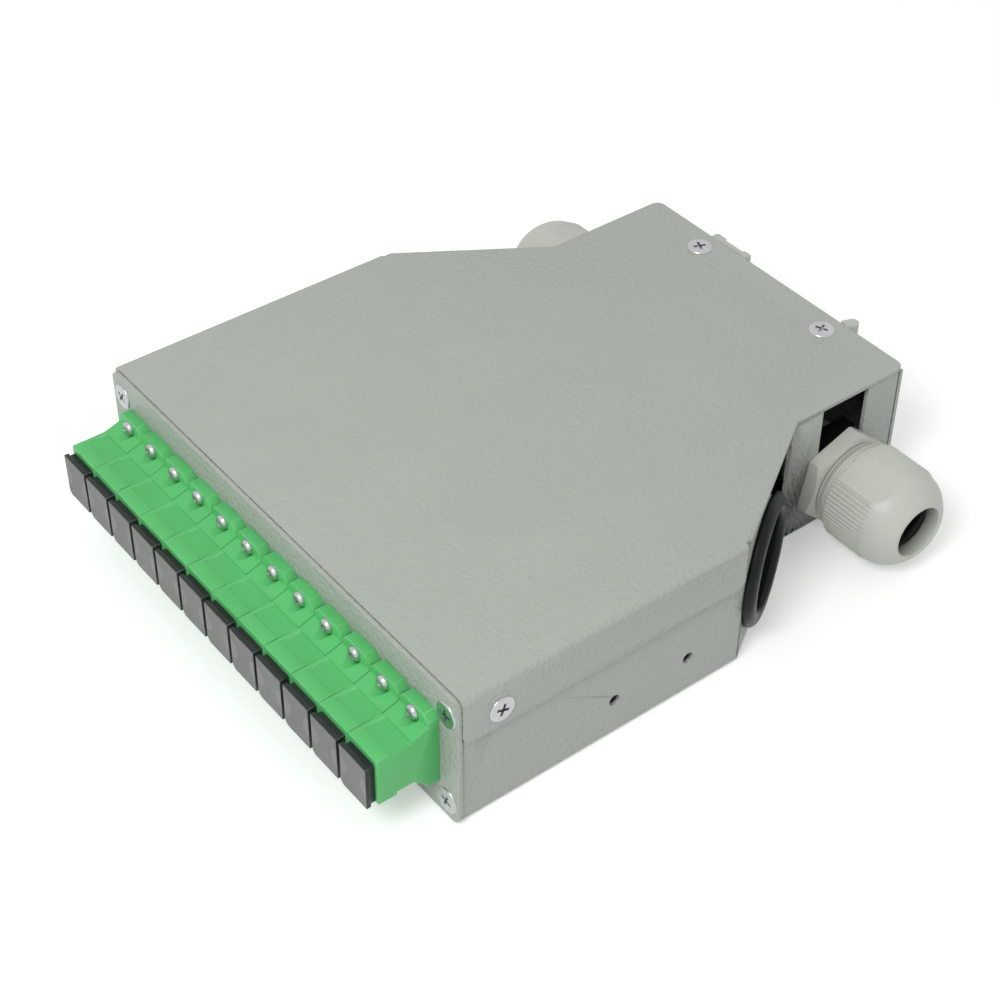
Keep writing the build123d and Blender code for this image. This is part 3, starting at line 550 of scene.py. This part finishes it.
def cap_material(colour, face_colour):
    """Dark moulded plastic whose front faces are matt and paler, each with a faint round disc."""
    material = surface_material("Dust_Cap", colour, (1500.0, 0.00002, 0.2), (0.1, 80.0), (0.4, 0.55))
    tree = material.node_tree
    shader = tree.nodes["Principled BSDF"]
    place = tree.nodes["Texture Coordinate"]
    dark = shader.inputs["Base Color"].links[0].from_socket
    parts = add_node(tree, "ShaderNodeSeparateXYZ", None, {"Vector": place.outputs["Object"]}).outputs
    shifted = calculate(tree, "ADD", parts["X"], PORT_PITCH * PORT_MIDDLE * MM)
    within = calculate(tree, "FLOORED_MODULO", shifted, PORT_PITCH * MM)
    along = calculate(tree, "SUBTRACT", within, PORT_PITCH / 2 * MM)
    above = calculate(tree, "SUBTRACT", parts["Z"], CAP_MIDDLE * MM)
    spot = add_node(tree, "ShaderNodeCombineXYZ", None, {"X": along, "Y": above})
    away = add_node(tree, "ShaderNodeVectorMath", None, {0: spot.outputs["Vector"]}, operation="LENGTH")
    disc = add_node(
        tree, "ShaderNodeMapRange",
        {"From Min": (CAP_DISC - DISC_FADE_IN) * MM, "From Max": (CAP_DISC + DISC_FADE_OUT) * MM},
        {"Value": away.outputs["Value"]}, interpolation_type="SMOOTHSTEP",
    ).outputs["Result"]
    facing = add_node(tree, "ShaderNodeSeparateXYZ", None, {"Vector": place.outputs["Normal"]}).outputs["Y"]
    front = calculate(tree, "LESS_THAN", facing, -0.9)
    paler = [channel * DISC_LIGHTER for channel in face_colour]
    shaded = add_node(
        tree, "ShaderNodeMix", {"A": (*paler, 1.0), "B": (*face_colour, 1.0)}, {"Factor": disc},
        data_type="RGBA",
    )
    mixed = add_node(
        tree, "ShaderNodeMix", None, {"Factor": front, "A": dark, "B": shaded.outputs["Result"]},
        data_type="RGBA",
    )
    tree.links.new(mixed.outputs["Result"], shader.inputs["Base Color"])
    grain = shader.inputs["Normal"].links[0].from_socket
    bump = add_node(
        tree, "ShaderNodeBump", {"Distance": DISC_STEP * MM, "Strength": 0.6},
        {"Height": calculate(tree, "MULTIPLY", disc, front), "Normal": grain},
    )
    tree.links.new(bump.outputs["Normal"], shader.inputs["Normal"])
    shader.inputs["Specular IOR Level"].default_value = 0.25
    return material


def cap_mesh(node, radius):
    """A dust cap with a shallow recess in its front face and softened edges."""
    shape = merged_shape(NODES[node].data)
    shape.normal_update()
    front = min(shape.faces, key=lambda face: face.calc_center_median().y)
    bmesh.ops.inset_region(
        shape, faces=[front], thickness=CAP_RIM * MM, depth=-CAP_RECESS * MM, use_even_offset=True
    )
    round_edges(shape, radius)
    return finished_mesh(node + "_look", shape)


# Foot of the rise to an adapter's flange, in millimetres
FOOT_HALF = 5.165
FOOT_FRONT = -84.4
FOOT_REAR = -80.2
FOOT_LOW = 25.3
RISE_START = -84.05
RISE_SLOPE = 0.342
RISE_BLEND = 0.2
RISE_PROUD = 0.03
BODY_TOP = 25.8
SCREW_TOP = 28.15
SCOOP = 2.15
FOOT_GRID = (40, 14)


def foot_height(x, y):
    """Height of the hollow rise towards the flange, with a round scoop under the screw's head."""
    rise = (y - RISE_START) * RISE_SLOPE + RISE_PROUD
    height = BODY_TOP + (rise + math.hypot(rise, RISE_BLEND)) / 2
    if abs(x) < SCOOP:
        height = min(height, SCREW_TOP - math.sqrt(SCOOP ** 2 - x * x))
    return height


def housing_mesh(port, radius):
    """An adapter housing with softened edges and a scooped foot where it rises to its flange."""
    node = f"adapter_{port:02d}"
    shape = merged_shape(NODES[node].data)
    round_edges(shape, radius)
    middle = (port - PORT_MIDDLE) * PORT_PITCH
    columns, rows = FOOT_GRID
    sheet = bmesh.ops.create_grid(shape, x_segments=columns, y_segments=rows, size=1.0)["verts"]
    for point in sheet:
        x = point.co.x * FOOT_HALF
        y = FOOT_FRONT + (point.co.y + 1.0) / 2 * (FOOT_REAR - FOOT_FRONT)
        point.co = Vector((middle + x, y, foot_height(x, y))) * MM
    top = list({face for point in sheet for face in point.link_faces})
    grown = bmesh.ops.extrude_face_region(shape, geom=top)["geom"]
    low = [item for item in grown if isinstance(item, bmesh.types.BMVert)]
    for point in low:
        point.co.z = FOOT_LOW * MM
    block = list({face for point in sheet + low for face in point.link_faces})
    bmesh.ops.recalc_face_normals(shape, faces=block)
    return finished_mesh(node + "_look", shape)


class FIBREBOX_OT_adapters(bpy.types.Operator):
    """Mould the adapters and their dust caps"""

    bl_idname = "fibrebox.adapters"
    bl_label = "Adapters"

    def execute(self, context):
        settings = context.scene.fibrebox_adapters
        housing = surface_material(
            "Adapter_Housing", settings.housing_colour, (900.0, 0.00002, 0.12), (0.05, 90.0), (0.42, 0.52)
        )
        cap = cap_material(settings.cap_colour, settings.cap_face_colour)
        for port in PORTS:
            place_piece(
                f"housing_{port:02d}", housing_mesh(port, settings.edge_round), "box", housing,
                (f"adapter_{port:02d}",),
            )
            place_piece(
                f"cap_{port:02d}_moulded", cap_mesh(f"dust_cap_{port:02d}", settings.edge_round),
                f"cap_{port:02d}", cap, (f"dust_cap_{port:02d}",),
            )
        return {"FINISHED"}


# Gland sizes in millimetres and degrees, along its axis from the wall's outer face
GLAND_PLACE = (45.3, 56.7, 14.1)
HEX_FLAT = 11.8
HEX_TURN = 19.2
HEX_THICK = 4.6
GRIP_START = 6.6
RIB_START = 8.6
GRIP_END = 20.4
GRIP_ROOT = 12.75
GRIP_FLAT = 12.3
GRIP_TURN = 58.0
GRIP_HALF = 40.0
RIB_PITCH = 5.0
RIB_HEIGHT = 0.42
NUT_END = 28.1
NUT_RIM = 7.6


def hexagon(flat, angle, turn=0.0):
    """Radius of a hexagon at an angle, from half its width across the flats."""
    return flat / math.cos(math.radians((angle - turn) % 60.0 - 30.0))


def hex_radius(angle):
    """Radius of the gland body's hexagon at an angle."""
    return hexagon(HEX_FLAT, angle, HEX_TURN)


def hex_top(angle):
    """Radius and height of the hexagon's outer edge, which a turned chamfer lowers at the corners."""
    radius = hex_radius(angle)
    return radius, HEX_THICK - 0.5 - (radius - HEX_FLAT) * 0.6


def grip_radius(angle):
    """Radius of the cap nut's grip: three ribbed sectors with a flat between each two."""
    turn = abs((angle - GRIP_TURN + 60.0) % 120.0 - 60.0)
    if turn < GRIP_HALF:
        return GRIP_ROOT + RIB_HEIGHT * (0.5 - 0.5 * math.cos(math.radians(turn * 360.0 / RIB_PITCH)))
    return GRIP_FLAT / math.cos(math.radians(60.0 - turn))


def dome_height(radius):
    """Height of the cap nut's domed end at a radius."""
    share = (radius - NUT_RIM) / (GRIP_ROOT - NUT_RIM)
    if share > 1.0:
        return GRIP_END - (radius - GRIP_ROOT)
    return GRIP_END + (NUT_END - GRIP_END) * (1.0 - share ** 1.25) ** 0.55


def dome_ring(angle):
    """Radius and height of the edge between the grip and the dome."""
    radius = grip_radius(angle)
    return radius, dome_height(radius)


def root_ring(angle):
    """Radius and height just past the ribs' ends, where the dome is round again."""
    radius = min(grip_radius(angle), GRIP_ROOT) - 0.03
    return radius, dome_height(radius) + 0.05


def gland_body_rings():
    """Rings of the gland body: entry thread, chamfered hexagon, the thread behind the nut and the seat."""
    turn = ((10.5, 0.0), (11.2, 0.12), (11.35, 0.28), (11.2, 0.45), (10.5, 0.6))
    threads = [(radius, start + rise) for start in (4.85, 5.65) for radius, rise in turn]
    return [
        (6.0, -10.5), (8.7, -10.5), (9.0, -10.1), (9.0, 0.0),
        lambda angle: (hex_radius(angle) - 0.3, 0.0), lambda angle: (hex_radius(angle), 0.3),
        hex_top, lambda angle: (11.35 + (hex_radius(angle) - HEX_FLAT) * 0.12, HEX_THICK - 0.08),
        (11.1, HEX_THICK), (10.5, HEX_THICK), *threads,
        (10.4, 6.4), (10.4, 14.8), (9.9, 15.1), (7.7, 15.1), (7.7, 8.1), (6.0, 8.1),
    ]


def cap_nut_rings():
    """Rings of the cap nut: the ribbed grip, the dome, the rounded mouth and the hollow inside."""
    dome = [(radius, dome_height(radius)) for radius in (12.0, 11.5, 10.9, 10.2, 9.5, 8.9, 8.4, 8.0, 7.7)]
    return [
        (10.7, GRIP_START), (11.7, GRIP_START), (12.0, GRIP_START + 0.2), (12.0, GRIP_START + 0.8),
        (11.75, GRIP_START + 0.95), (11.75, RIB_START - 0.5),
        (12.05, RIB_START - 0.35), (12.05, RIB_START - 0.1),
        lambda angle: (min(grip_radius(angle), 12.6) - 0.3, RIB_START),
        lambda angle: (grip_radius(angle), RIB_START + 0.3), dome_ring, root_ring, *dome,
        (7.25, NUT_END), (6.95, NUT_END - 0.1), (6.78, NUT_END - 0.35), (6.75, NUT_END - 0.8),
        (6.75, 24.9), (8.6, 21.0), (10.7, 17.1),
    ]


SEAL_RINGS = [
    (5.0, 8.2), (6.2, 8.2), (6.28, 8.4), (6.28, 17.4), (6.6, 18.2), (6.7, 23.6), (6.4, 24.2),
    (5.7, 24.0), (5.2, 23.2), (5.0, 22.0),
]
GROMMET_PLACE = (60.788, 16.489, 18.95)
GROMMET_AXIS = (0.8405, 0.5419, 0.0)
GROMMET_RINGS = [
    (12.0, -3.05), (14.7, -3.05), (15.0, -2.75), (15.0, -1.45), (14.8, -1.25), (13.45, -1.25), (13.45, -0.15),
    (16.0, -0.15), (16.2, 0.1), (16.2, 0.75), (16.1, 1.2), (15.8, 1.65), (15.3, 2.1), (14.7, 2.42),
    (14.0, 2.58), (13.3, 2.55), (12.7, 2.35), (12.25, 1.95), (12.03, 1.4), (12.0, 0.8),
]


def gland_places():
    """Matrices that turn a gland piece's Z outwards on the right and, mirrored, on the left."""
    turned = Matrix(((0, 0, 1, 0), (1, 0, 0, 0), (0, 1, 0, 0), (0, 0, 0, 1)))
    right = Matrix.Translation(Vector(GLAND_PLACE) * MM) @ turned @ Matrix.Scale(MM, 4)
    return {"right": right, "left": Matrix.Scale(-1.0, 4, (1, 0, 0)) @ right}


def grommet_places():
    """Matrices of the right grommet and of its mirror image on the left."""
    right = seat(GROMMET_PLACE, GROMMET_AXIS)
    return {"right": right, "left": Matrix.Scale(-1.0, 4, (1, 0, 0)) @ right}


class FIBREBOX_OT_cable_entries(bpy.types.Operator):
    """Mould the glands and the grommets"""

    bl_idname = "fibrebox.cable_entries"
    bl_label = "Cable Entries"

    def execute(self, context):
        settings = context.scene.fibrebox_entries
        nylon = surface_material(
            "Gland_Nylon", settings.gland_colour, (1100.0, 0.00002, 0.15), (0.03, 70.0), (0.4, 0.5)
        )
        rubber = surface_material(
            "Black_Rubber", settings.rubber_colour, (1600.0, 0.00002, 0.2), (0.15, 90.0), (0.3, 0.4),
            Specular_IOR_Level=0.2,
        )
        glands = gland_places()
        grommets = grommet_places()
        for side in SIDES:
            rows = (
                ("gland_body", 72, gland_body_rings(), glands, "box", nylon, 40.0),
                ("gland_cap_nut", 288, cap_nut_rings(), glands, f"gland_nut_{side}", nylon, 30.0),
                ("gland_seal", 48, SEAL_RINGS, glands, "box", rubber, 40.0),
                ("grommet", 72, GROMMET_RINGS, grommets, "box", rubber, 50.0),
            )
            for part, segments, rings, places, body, material, sharp in rows:
                node = f"{part}_{side}"
                mesh = repeated(node + "_look", grown_ring(segments, rings), [places[side]], sharp)
                place_piece(node + "_moulded", mesh, body, material, (node,))
            finish_node(f"gland_clamp_{side}", nylon)
            finish_node(f"gland_locknut_{side}", rubber)
        return {"FINISHED"}


def countersunk_rings(length):
    """Rings of a countersunk M3.5 screw, Z from the sheet's outer face."""
    return [
        (2.7, 0.33), (3.05, 0.28), (3.25, 0.16), (3.3, 0.02), (3.25, -0.08), (1.7, -1.0),
        (1.7, -length + 0.3), (1.4, -length),
    ]


ADAPTER_SCREW_RINGS = [
    (1.35, 1.12), (1.5, 1.02), (1.65, 0.86), (1.8, 0.6), (1.9, 0.25), (1.88, 0.0), (0.95, 0.0), (0.95, -3.9),
    lambda angle: (hexagon(2.0, angle), -3.9), lambda angle: (hexagon(2.0, angle), -5.5),
]
CLIP_SCREW_RINGS = [(2.2, 1.0), (2.6, 0.9), (2.8, 0.6), (2.8, 0.0), (1.5, 0.0), (1.5, -4.7), (1.3, -5.0)]
ADAPTER_SEATS = [((port - PORT_MIDDLE) * PORT_PITCH, -80.25, z) for port in PORTS for z in (10.25, SCREW_TOP)]


class FIBREBOX_OT_fixings(bpy.types.Operator):
    """Turn and plate the screws and nuts"""

    bl_idname = "fibrebox.fixings"
    bl_label = "Screws and Nuts"

    def execute(self, context):
        plate = surface_material(
            "Nickel_Plate", (0.5, 0.515, 0.52), (1800.0, 0.00001, 0.15), (0.08, 200.0), (0.24, 0.34),
            Metallic=1.0,
        )
        sunk = {
            "panel_screws": [
                seat((x, -77.35, z), (0, -1, 0), x + z) for x in (-65.6, 65.6) for z in (5.1, 31.6)
            ],
            "cover_rear_screws": [seat((x, 70.4, 37.9), (0, 0, 1), x) for x in (-22.6, 22.6)],
            "cover_side_screws": [seat((x, -66.2, 29.9), (x, 0, 0), x) for x in (-70.0, 70.0)],
        }
        for node, places in sunk.items():
            screw = cross_screw(countersunk_rings(7.15), 0.34, 0.36, 1.65, 0.9)
            place_piece(node + "_turned", repeated(node + "_look", screw, places), "box", plate, (node,))
        heads = [seat(point, (0, -1, 0), 37.0 * index) for index, point in enumerate(ADAPTER_SEATS)]
        screw = cross_screw(ADAPTER_SCREW_RINGS, 1.3, 0.28, 0.95, 0.8)
        mesh = repeated("adapter_screws_look", screw, heads)
        place_piece("adapter_screws_turned", mesh, "box", plate, ("adapter_screws",))
        clip = [seat((x, 77.15, 18.95), (0, 1, 0), 20.0 * x) for x in (-8.0, 8.0)]
        mesh = repeated("clip_screws_look", cross_screw(CLIP_SCREW_RINGS, 1.0, 0.35, 1.3, 0.6), clip)
        place_piece("clip_screws_turned", mesh, "box", plate, ("din_clip_screws",))
        for node in ("clinch_nuts", "tray_screws", "tray_standoffs", "anchor_studs"):
            finish_node(node, plate)
        return {"FINISHED"}


CLIP_EDGE = 0.25 * MM


class FIBREBOX_OT_rail_clip(bpy.types.Operator):
    """Finish the rail clip and the tray inside the box"""

    bl_idname = "fibrebox.rail_clip"
    bl_label = "Rail Clip and Splice Tray"

    def execute(self, context):
        clip = surface_material(
            "Clip_Plastic", (0.47, 0.49, 0.45), (1300.0, 0.00002, 0.2), (0.04, 80.0), (0.42, 0.52)
        )
        inner = surface_material(
            "Tray_Plastic", (0.05, 0.054, 0.054), (900.0, 0.00002, 0.2), (0.08, 60.0), (0.4, 0.55)
        )
        rows = (
            ("din_clip", "box", clip), ("din_latch", "rail_latch", clip),
            ("splice_tray", "box", inner), ("splice_holder", "box", inner),
        )
        for node, body, material in rows:
            place_piece(node + "_moulded", rounded_copy(node, CLIP_EDGE), body, material, (node,))
        return {"FINISHED"}


# Camera of the photograph, in metres, and the lens for a 36 mm sensor
CAMERA_PLACE = Vector((0.30032109, -0.24802128, 0.34497804))
CAMERA_RIGHT = Vector((0.6114777, 0.79122069, 0.00805236))
CAMERA_UP = Vector((-0.52579549, 0.39870269, 0.75138223))
CAMERA_AHEAD = Vector((-0.59129867, 0.46368738, -0.65981808))
CAMERA_FOCAL_PIXELS = 2076.9
CAMERA_SENSOR = 36.0


KEY_PLACE = (0.25, -0.55, 0.7)
KEY_SIZE = 0.3
FLOOR_REACH = 6.0
FLOOR_GAP = 0.0001
FLOOR_GLOW = 0.32


def add_camera():
    """The camera at the photograph's place and angle."""
    data = bpy.data.cameras.new("Camera")
    data.sensor_width = CAMERA_SENSOR
    data.lens = CAMERA_FOCAL_PIXELS * CAMERA_SENSOR / IMAGE_SIZE
    data.clip_start = 0.01
    camera = bpy.data.objects.new("Camera", data)
    bpy.context.scene.collection.objects.link(camera)
    turn = Matrix((CAMERA_RIGHT, CAMERA_UP, -CAMERA_AHEAD)).transposed().to_4x4()
    camera.matrix_world = Matrix.Translation(CAMERA_PLACE) @ turn
    bpy.context.scene.camera = camera


def add_lamp(name, place, size, power):
    """A square soft lamp that faces the part's middle."""
    data = bpy.data.lights.new(name, "AREA")
    data.shape = "SQUARE"
    data.size = size
    data.energy = power
    lamp = bpy.data.objects.new(name, data)
    bpy.context.scene.collection.objects.link(lamp)
    aim = (-Vector(place)).to_track_quat("-Z", "Y")
    lamp.matrix_world = Matrix.Translation(Vector(place)) @ aim.to_matrix().to_4x4()


def sight_mask(tree):
    """Light Path value that is one for camera, mirror and see-through rays."""
    path = tree.nodes.new("ShaderNodeLightPath")
    first = calculate(tree, "MAXIMUM", path.outputs["Is Camera Ray"], path.outputs["Is Glossy Ray"])
    return calculate(tree, "MAXIMUM", first, path.outputs["Is Transmission Ray"])


def add_floor(settings):
    """A wide pale floor just under the part, with a faint tooth."""
    shape = bmesh.new()
    bmesh.ops.create_grid(shape, x_segments=2, y_segments=2, size=FLOOR_REACH)
    bmesh.ops.translate(shape, verts=shape.verts, vec=(0.0, 0.0, cad_low.z - FLOOR_GAP))
    mesh = bpy.data.meshes.new("Floor")
    shape.to_mesh(mesh)
    shape.free()
    floor = bpy.data.objects.new("Floor", mesh)
    bpy.context.scene.collection.objects.link(floor)
    material, tree, shader, place = new_material("Floor")
    toned = place_group(
        tree, TONE, {"Colour": (*settings.floor_colour, 1.0), "Amount": 0.004, "Frequency": 3.0},
        {"Vector": place},
    )
    tree.links.new(toned.outputs["Colour"], shader.inputs["Base Color"])
    shader.inputs["Roughness"].default_value = 0.9
    shader.inputs["Emission Color"].default_value = (1.0, 1.0, 1.0, 1.0)
    lift = calculate(tree, "MULTIPLY", sight_mask(tree), FLOOR_GLOW)
    tree.links.new(lift, shader.inputs["Emission Strength"])
    mesh.materials.append(material)


def set_world(settings):
    """Even soft light all round, seen as white."""
    world = bpy.data.worlds.new("Studio")
    world.use_nodes = True
    bpy.context.scene.world = world
    tree = world.node_tree
    sky = tree.nodes["Background"]
    sky.inputs["Color"].default_value = (1.0, 1.0, 1.0, 1.0)
    limits = {"To Min": settings.sky_strength, "To Max": 1.0}
    seen = add_node(tree, "ShaderNodeMapRange", limits, {"Value": sight_mask(tree)})
    tree.links.new(seen.outputs["Result"], sky.inputs["Strength"])


class FIBREBOX_OT_studio(bpy.types.Operator):
    """Set up the floor, the lamps and the camera"""

    bl_idname = "fibrebox.studio"
    bl_label = "Studio"

    def execute(self, context):
        settings = context.scene.fibrebox_studio
        context.scene.view_settings.view_transform = "Standard"
        set_world(settings)
        add_floor(settings)
        add_lamp("Key Lamp", KEY_PLACE, KEY_SIZE, settings.key_power)
        add_camera()
        return {"FINISHED"}


class FIBREBOX_PT_panel(bpy.types.Panel):
    """The dresser's steps and settings"""

    bl_label = "Fibre Box"
    bl_idname = "FIBREBOX_PT_panel"
    bl_space_type = "VIEW_3D"
    bl_region_type = "UI"
    bl_category = "Fibre Box"

    def draw(self, context):
        for name in SETTINGS:
            settings = getattr(context.scene, name)
            for key in settings.__annotations__:
                self.layout.prop(settings, key)
        for step in STEPS:
            self.layout.operator(step.bl_idname)


SETTINGS = {
    "fibrebox_sheet": SheetMetalSettings,
    "fibrebox_adapters": AdapterSettings,
    "fibrebox_entries": EntrySettings,
    "fibrebox_studio": StudioSettings,
}
STEPS = (
    FIBREBOX_OT_sheet_metal,
    FIBREBOX_OT_adapters,
    FIBREBOX_OT_cable_entries,
    FIBREBOX_OT_fixings,
    FIBREBOX_OT_rail_clip,
    FIBREBOX_OT_studio,
)
CLASSES = (*SETTINGS.values(), *STEPS, FIBREBOX_PT_panel)


def register():
    for cls in CLASSES:
        bpy.utils.register_class(cls)
    for name, kind in SETTINGS.items():
        setattr(bpy.types.Scene, name, bpy.props.PointerProperty(type=kind))


def unregister():
    for name in SETTINGS:
        delattr(bpy.types.Scene, name)
    for cls in reversed(CLASSES):
        bpy.utils.unregister_class(cls)


def main():
    register()
    for step in STEPS:
        group, name = step.bl_idname.split(".")
        getattr(getattr(bpy.ops, group), name)()


if __name__ == "__main__":
    main()
